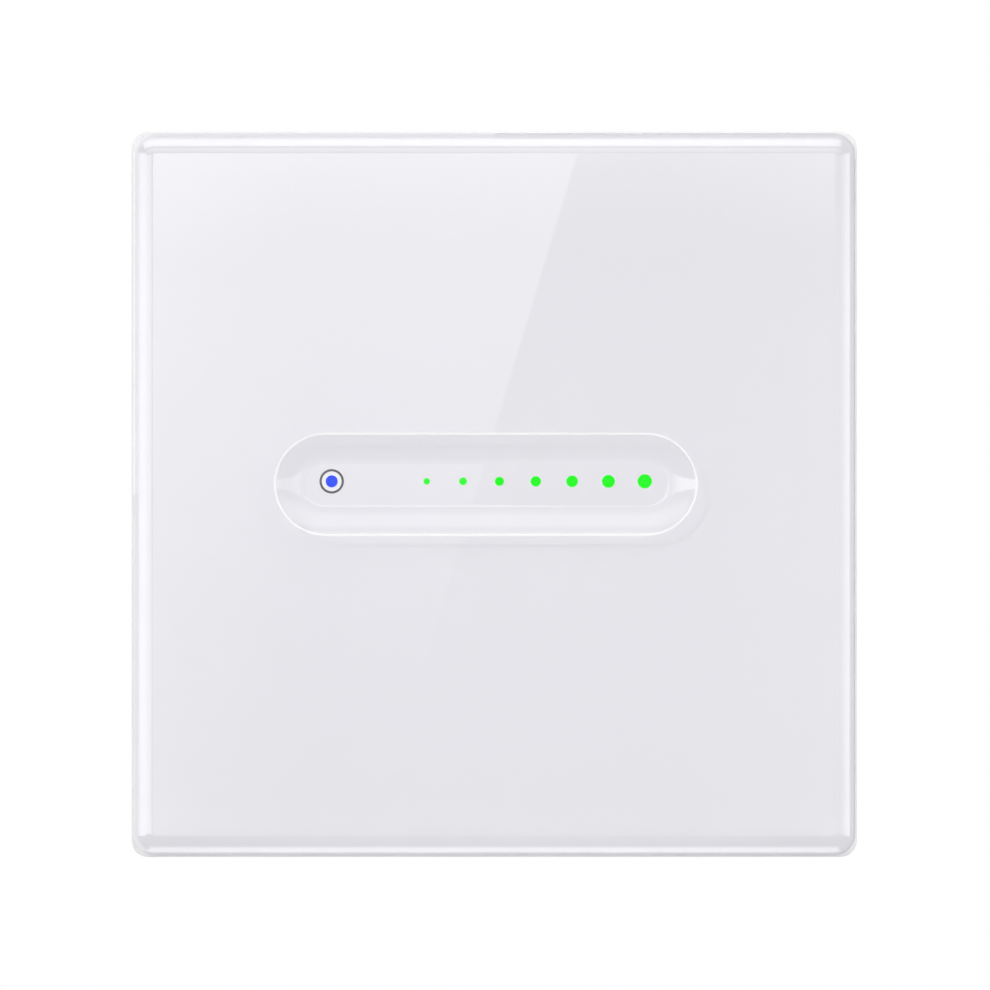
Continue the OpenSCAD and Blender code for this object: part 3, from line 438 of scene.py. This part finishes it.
GLASS_LOW, GLASS_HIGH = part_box("glass_panel")
GLASS_HALF = GLASS_HIGH.x
GLASS_FRONT = GLASS_LOW.y
# The back stands just inside the print, so that no ray slips between the two
GLASS_BACK = GLASS_HIGH.y + 0.03 * MM
CORNER_R = 2.6 * MM
EDGE_R = 2.4 * MM
EDGE_STEPS = 14
CORNER_STEPS = 14
CORE = GLASS_HALF - CORNER_R
EDGE_START = GLASS_FRONT + EDGE_R

GROOVE_L = 50.3 * MM
GROOVE_W = 12.3 * MM
GROOVE_DEPTH = 0.8 * MM
FLOOR_HALF = 4.7 / 2 * MM
RIM_W = 0.3 * MM
RIM_DROP = 0.1 * MM
GROOVE_X = -1.0 * MM
GROOVE_Z = 1.2 * MM
GROOVE_HALF = GROOVE_W / 2
STRAIGHT_HALF = (GROOVE_L - GROOVE_W) / 2
ARC_RUN = GROOVE_HALF - RIM_W - FLOOR_HALF
ARC_RISE = GROOVE_DEPTH - RIM_DROP
ARC_R = (ARC_RUN ** 2 + ARC_RISE ** 2) / (2 * ARC_RISE)
ARC_END = math.asin(ARC_RUN / ARC_R)
ARC_STEPS = 18
END_STEPS = 36
POLISHED, GROUND = 0, 1


def groove_away(point):
    """How far a point is from the groove's middle line, and which way, seen from the front."""
    x = point.x - GROOVE_X
    z = point.z - GROOVE_Z
    away = Vector((x - max(-STRAIGHT_HALF, min(STRAIGHT_HALF, x)), 0, z))
    return away.length, away


def outline_away(point):
    """The same from the square that the rounded outline and edge are drawn about."""
    inner = (max(-CORE, min(CORE, point.x)), max(-CORE, min(CORE, point.z)))
    away = Vector((point.x - inner[0], 0, point.z - inner[1]))
    return away.length, away


def polished_normal(point):
    """Which way the glass faces at a point on its front, its groove or its edge."""
    forward = Vector((0, -1, 0))
    far, away = groove_away(point)
    if far < GROOVE_HALF:
        if far <= FLOOR_HALF:
            return forward
        if far <= FLOOR_HALF + ARC_RUN:
            tilt = math.asin(min(1.0, (far - FLOOR_HALF) / ARC_R))
        else:
            tilt = ARC_END * (GROOVE_HALF - far) / RIM_W
        return forward * math.cos(tilt) - away.normalized() * math.sin(tilt)
    far, away = outline_away(point)
    if far < CORNER_R - EDGE_R + 1e-7:
        return forward
    lean = max(-1.0, min(1.0, (far - (CORNER_R - EDGE_R)) / EDGE_R))
    outward = away.normalized()
    if point.y > EDGE_START - 1e-7:
        return outward
    return outward * lean + forward * math.sqrt(1 - lean ** 2)


def groove_profile(bm):
    """Half of the groove's section as a chain of edges, from the rim to the floor."""
    points = [Vector((-GROOVE_HALF, 0, 0)), Vector((-GROOVE_HALF + RIM_W / 2, RIM_DROP / 2, 0))]
    for step in range(ARC_STEPS + 1):
        tilt = ARC_END * (1 - step / ARC_STEPS)
        points.append(Vector((
            -FLOOR_HALF - ARC_R * math.sin(tilt),
            GROOVE_DEPTH - ARC_R * (1 - math.cos(tilt)), 0,
        )))
    corners = [bm.verts.new(point) for point in points]
    return [bm.edges.new(pair) for pair in zip(corners, corners[1:])]


def groove_surface(bm):
    """Sweeps the section round both ends and along both sides of the groove."""
    chain = groove_profile(bm)
    start = Vector((GROOVE_X - STRAIGHT_HALF, GLASS_FRONT, GROOVE_Z))
    bmesh.ops.translate(bm, verts=bm.verts, vec=start)
    middle = Vector((GROOVE_X, GLASS_FRONT, GROOVE_Z))
    bmesh.ops.rotate(
        bm, verts=bm.verts, cent=start, matrix=Matrix.Rotation(math.radians(90), 3, "Y")
    )
    for side in (-1, 1):
        centre = middle + Vector((side * STRAIGHT_HALF, 0, 0))
        spun = bmesh.ops.spin(
            bm, geom=chain, cent=centre, axis=(0, 1, 0), angle=-math.pi,
            steps=END_STEPS, use_duplicate=False,
        )
        chain = [part for part in spun["geom_last"] if isinstance(part, bmesh.types.BMEdge)]
        drawn = bmesh.ops.extrude_edge_only(bm, edges=chain)["geom"]
        ends = [part for part in drawn if isinstance(part, bmesh.types.BMVert)]
        bmesh.ops.translate(bm, verts=ends, vec=(-side * 2 * STRAIGHT_HALF, 0, 0))
        chain = [
            part for part in drawn
            if isinstance(part, bmesh.types.BMEdge) and all(v in ends for v in part.verts)
        ]
    bmesh.ops.remove_doubles(bm, verts=bm.verts, dist=0.001 * MM)


def open_edges(bm):
    return [edge for edge in bm.edges if len(edge.link_faces) == 1]


def glass_panel():
    """The panel: rounded polished edge, ground groove with a polished hollow."""
    bm = bmesh.new()
    groove_surface(bm)
    rims = open_edges(bm)
    floor = [
        edge for edge in rims
        if all(abs(v.co.y - GLASS_FRONT - GROOVE_DEPTH) < 0.01 * MM for v in edge.verts)
    ]
    bmesh.ops.contextual_create(bm, geom=floor)
    groove_faces = set(bm.faces)
    corners = bmesh.ops.create_grid(bm, x_segments=1, y_segments=1, size=GLASS_HALF)["verts"]
    bmesh.ops.rotate(
        bm, verts=corners, cent=(0, 0, 0), matrix=Matrix.Rotation(math.radians(90), 3, "X")
    )
    bmesh.ops.translate(bm, verts=corners, vec=(0, GLASS_BACK, 0))
    bmesh.ops.bevel(
        bm, geom=corners, offset=CORNER_R, segments=CORNER_STEPS, profile=0.5,
        affect="VERTICES", material=-1,
    )
    back = next(face for face in bm.faces if face not in groove_faces)
    raised = bmesh.ops.extrude_face_region(bm, geom=[back], use_keep_orig=True)["geom"]
    front = next(part for part in raised if isinstance(part, bmesh.types.BMFace))
    bmesh.ops.translate(bm, verts=front.verts[:], vec=(0, EDGE_START - GLASS_BACK, 0))
    across = rise = 0.0
    for step in range(1, EDGE_STEPS + 1):
        turn = math.pi / 2 * step / EDGE_STEPS
        inward = EDGE_R * (1 - math.cos(turn))
        outward = EDGE_R * math.sin(turn)
        bmesh.ops.inset_region(
            bm, faces=[front], thickness=inward - across, depth=0, use_even_offset=True
        )
        bmesh.ops.translate(bm, verts=front.verts[:], vec=(0, rise - outward, 0))
        across, rise = inward, outward
    rim = [edge for edge in open_edges(bm)]
    outer = front.edges[:]
    bmesh.ops.delete(bm, geom=[front], context="FACES_ONLY")
    bmesh.ops.triangle_fill(bm, use_beauty=True, edges=rim + outer, normal=(0, -1, 0))
    bmesh.ops.recalc_face_normals(bm, faces=bm.faces)
    for face in bm.faces:
        face.smooth = True
        far, _ = groove_away(face.calc_center_median())
        if FLOOR_HALF + ARC_RUN < far < GROOVE_HALF:
            face.material_index = GROUND
    arris = lit_glass("ground_arris", 0.75, 0.45)
    piece = new_piece("glass_panel_polished", bm, "glass_panel", [arris])
    mesh = piece.data
    facing_back = Vector((0, 1, 0))
    mesh.normals_split_custom_set([
        facing_back if face.normal.y > 0.9 else polished_normal(
            mesh.vertices[mesh.loops[corner].vertex_index].co
        )
        for face in mesh.polygons for corner in face.loop_indices
    ])
    return piece


glass_panel()

for node, width in {
    "panel_carrier": 0.15, "rear_housing": 0.3, "mounting_plate": 0.15,
    "front_cover": 0.15, "terminal_block": 0.15, "film_capacitor": 0.5,
    "bridge_rectifier": 0.15, "transistor_left": 0.12, "transistor_right": 0.12,
    "heat_sink": 0.12, "header_socket": 0.12, "radio_shield": 0.12, "light_mask": 0.08,
    "terminal_clamp_line": 0.12, "terminal_clamp_neutral": 0.12, "terminal_clamp_load": 0.12,
    "panel_clips": 0.06,
}.items():
    softened(node, width)


# Floor, lamps, reflections and camera

def stage_object(name, bm, finish):
    mesh = bpy.data.meshes.new(name)
    bm.to_mesh(mesh)
    bm.free()
    thing = bpy.data.objects.new(name, mesh)
    bpy.context.scene.collection.objects.link(thing)
    mesh.materials.append(finish)
    return thing


def pale_floor():
    """A plain pale floor, well below the wall-mounted object, that can be seen through from below."""
    f = new_finish("pale_floor")
    above = f.add("ShaderNodeBsdfDiffuse", None, {"Color": (0.86, 0.86, 0.87, 1)})
    below = f.add("ShaderNodeBsdfTransparent")
    side = f.add("ShaderNodeNewGeometry", output="Backfacing")
    finish = f.done(f.add("ShaderNodeMixShader", None, {0: side, 1: above, 2: below}))
    bm = bmesh.new()
    bmesh.ops.create_grid(bm, x_segments=1, y_segments=1, size=FLOOR_HALF_SIZE)
    bmesh.ops.translate(bm, verts=bm.verts, vec=(0, 0, FLOOR_Z))
    stage_object("pale_floor", bm, finish).visible_glossy = False


FLOOR_Z = -0.10
FLOOR_HALF_SIZE = 1.6
DOME_R = 1.0


def reflection_dome():
    """What shines in the glass and metal: broad soft boxes, drawn on a dome that only reflections see."""
    f = new_finish("reflection_dome")
    x, y, z = (f.axis(letter) for letter in "XYZ")
    ahead = y * -1
    degrees = 180 / math.pi
    rise = z.maths("ARCTAN2", ahead) * degrees
    turn = x.maths("ARCTAN2", ahead) * degrees

    def band(angle, start, full, fade, end):
        return angle.smooth(start, full) * angle.smooth(fade, end, 1.0, 0.0)

    level = rise.smooth(-12, -3) * turn.smooth(4, 24, 1, 0) * turn.smooth(-24, -4, 0.5, 1)
    level = level * BASE_GLOW
    level = level + band(rise, 4, 22, 28, 42) * TOP_GLOW * band(turn, -50, -30, 30, 50)
    level = level + band(rise, 38, 52, 72, 112) * band(x, -0.85, -0.65, 0.35, 0.7) * STRIP_TOP
    level_by = abs(z).smooth(0.1, 0.26, 1, 0)
    level = level + band(turn, -112, -70, -48, -38) * level_by * STRIP_LEFT
    level_row = band(rise, -6, -4, 4, 6)
    level = level + band(turn, -48, -38, -26, -2) * level_row * STRIP_INNER
    level = level + band(turn, 4, 10, 40, 70) * level_row * STRIP_OUTER
    level = level + band(turn, 30, 78, 84, 100) * level_by * STRIP_RIGHT
    level = level + band(rise, -118, -104, -84, -60) * abs(x).smooth(0.2, 0.5, 1, 0) * STRIP_LOW
    # The bright upper left of the panel, bounded by a slanting edge
    spread = 1 + DOME_R / CAMERA_AWAY
    edge = SHEEN_SLOPE * z + SHEEN_X * MM * spread - x
    sheen = edge.smooth(-0.3 * MM, 0.3 * MM) * z.smooth(
        -30 * MM * spread, 40 * MM * spread
    )
    wash = (z.smooth(26 * MM * spread, 44 * MM * spread) * WASH_TOP
            + x.smooth(-20 * MM * spread, -44 * MM * spread) * WASH_LEFT
            + x.smooth(20 * MM * spread, 44 * MM * spread) * WASH_RIGHT)
    ahead_only = band(rise, -4.5, -3.4, 3.4, 4.5) * band(turn, -4.5, -3.4, 3.4, 4.5)
    level = level + (sheen * SHEEN_GLOW + wash) * ahead_only
    behind = ahead.smooth(-0.25, -0.05, 1.0, 0.0)
    level = level + behind * (BACK_LOW + BACK_TOP * z.smooth(0, 0.7)
                              + BACK_LEFT * x.smooth(0.1, -0.7))
    shine = f.add("ShaderNodeEmission", None, {"Color": (1, 1, 1, 1), "Strength": level})
    finish = f.done(shine)
    bm = bmesh.new()
    bmesh.ops.create_icosphere(bm, subdivisions=5, radius=DOME_R)
    dome = stage_object("reflection_dome", bm, finish)
    for unseen in ("camera", "diffuse", "transmission", "volume_scatter", "shadow"):
        setattr(dome, "visible_" + unseen, False)


CAMERA_AWAY = 3.49
BASE_GLOW = 0.75
TOP_GLOW = 1.8
STRIP_TOP = 5.2
STRIP_LEFT = 5.0
STRIP_INNER = 3.8
STRIP_OUTER = 1.5
STRIP_RIGHT = 4.4
STRIP_LOW = 3.8
BACK_LOW = 0.15
BACK_TOP = 0.3
BACK_LEFT = 1.1
SHEEN_GLOW = 1.6
WASH_TOP = 1.8
WASH_LEFT = 1.3
WASH_RIGHT = 1.0
SHEEN_SLOPE = 0.30
SHEEN_X = -2.3


def lamp(name, place, size, watts, aim=(0, 0, 0)):
    """A soft round lamp that shines towards a point and isn't mirrored."""
    data = bpy.data.lights.new(name, "AREA")
    data.shape = "DISK"
    data.size = size
    data.energy = watts
    light = bpy.data.objects.new(name, data)
    bpy.context.scene.collection.objects.link(light)
    light.location = place
    light.rotation_euler = (Vector(aim) - Vector(place)).to_track_quat("-Z", "Y").to_euler()
    light.visible_glossy = False
    light.visible_camera = False
    light.visible_transmission = False


def studio():
    key_way = Vector((-0.355, -1, 0.326)).normalized()
    lamp("key_lamp", key_way * 6.0, 0.42, KEY_WATTS)
    lamp("front_soft", (0.9, -4.0, 2.0), 2.8, FRONT_WATTS)
    lamp("top_soft", (-0.3, 0.2, 1.7), 1.2, TOP_WATTS)
    lamp("left_soft", (-1.7, 0.3, 0.5), 1.2, SIDE_WATTS)
    lamp("right_soft", (1.7, 0.3, 0.4), 1.2, SIDE_WATTS)
    lamp("back_soft", (0.4, 2.0, 0.9), 1.2, BACK_WATTS)


KEY_WATTS = 89
FRONT_WATTS = 103
TOP_WATTS = 3
SIDE_WATTS = 6
BACK_WATTS = 15
ROOM_GLOW = 0.25


def white_surround():
    """White wherever the camera, glass or metal looks past the object, and a faint glow elsewhere."""
    world = bpy.data.worlds.new("white_surround")
    bpy.context.scene.world = world
    f = Finish(world)
    camera = f.add("ShaderNodeLightPath", output="Is Camera Ray")
    glossy = f.add("ShaderNodeLightPath", output="Is Glossy Ray")
    through = f.add("ShaderNodeLightPath", output="Is Transmission Ray")
    scattered = f.add("ShaderNodeLightPath", output="Diffuse Depth") > 0.5
    seen = camera.maths("MAXIMUM", glossy.maths("MAXIMUM", through)) * (1 - scattered)
    strength = ROOM_GLOW + seen * (1 - ROOM_GLOW)
    glow = f.add("ShaderNodeBackground", None, {"Color": (1, 1, 1, 1), "Strength": strength})
    f.add("ShaderNodeOutputWorld", None, {"Surface": glow})


def camera():
    """Straight on from far away, framed as the photograph is."""
    data = bpy.data.cameras.new("camera")
    data.sensor_width = 36
    data.lens = 36 * CAMERA_AWAY / FRAME_WIDTH
    data.clip_start = 0.1
    data.clip_end = 20
    seen_from = bpy.data.objects.new("camera", data)
    bpy.context.scene.collection.objects.link(seen_from)
    seen_from.location = (CAMERA_X * MM, GLASS_FRONT - CAMERA_AWAY, CAMERA_Z * MM)
    seen_from.rotation_euler = (math.radians(90), 0, 0)
    bpy.context.scene.camera = seen_from


FRAME_WIDTH = 0.1173
CAMERA_X = 0.095
CAMERA_Z = -0.07

pale_floor()
reflection_dome()
studio()
white_surround()
camera()
bpy.context.scene.view_settings.view_transform = "Standard"
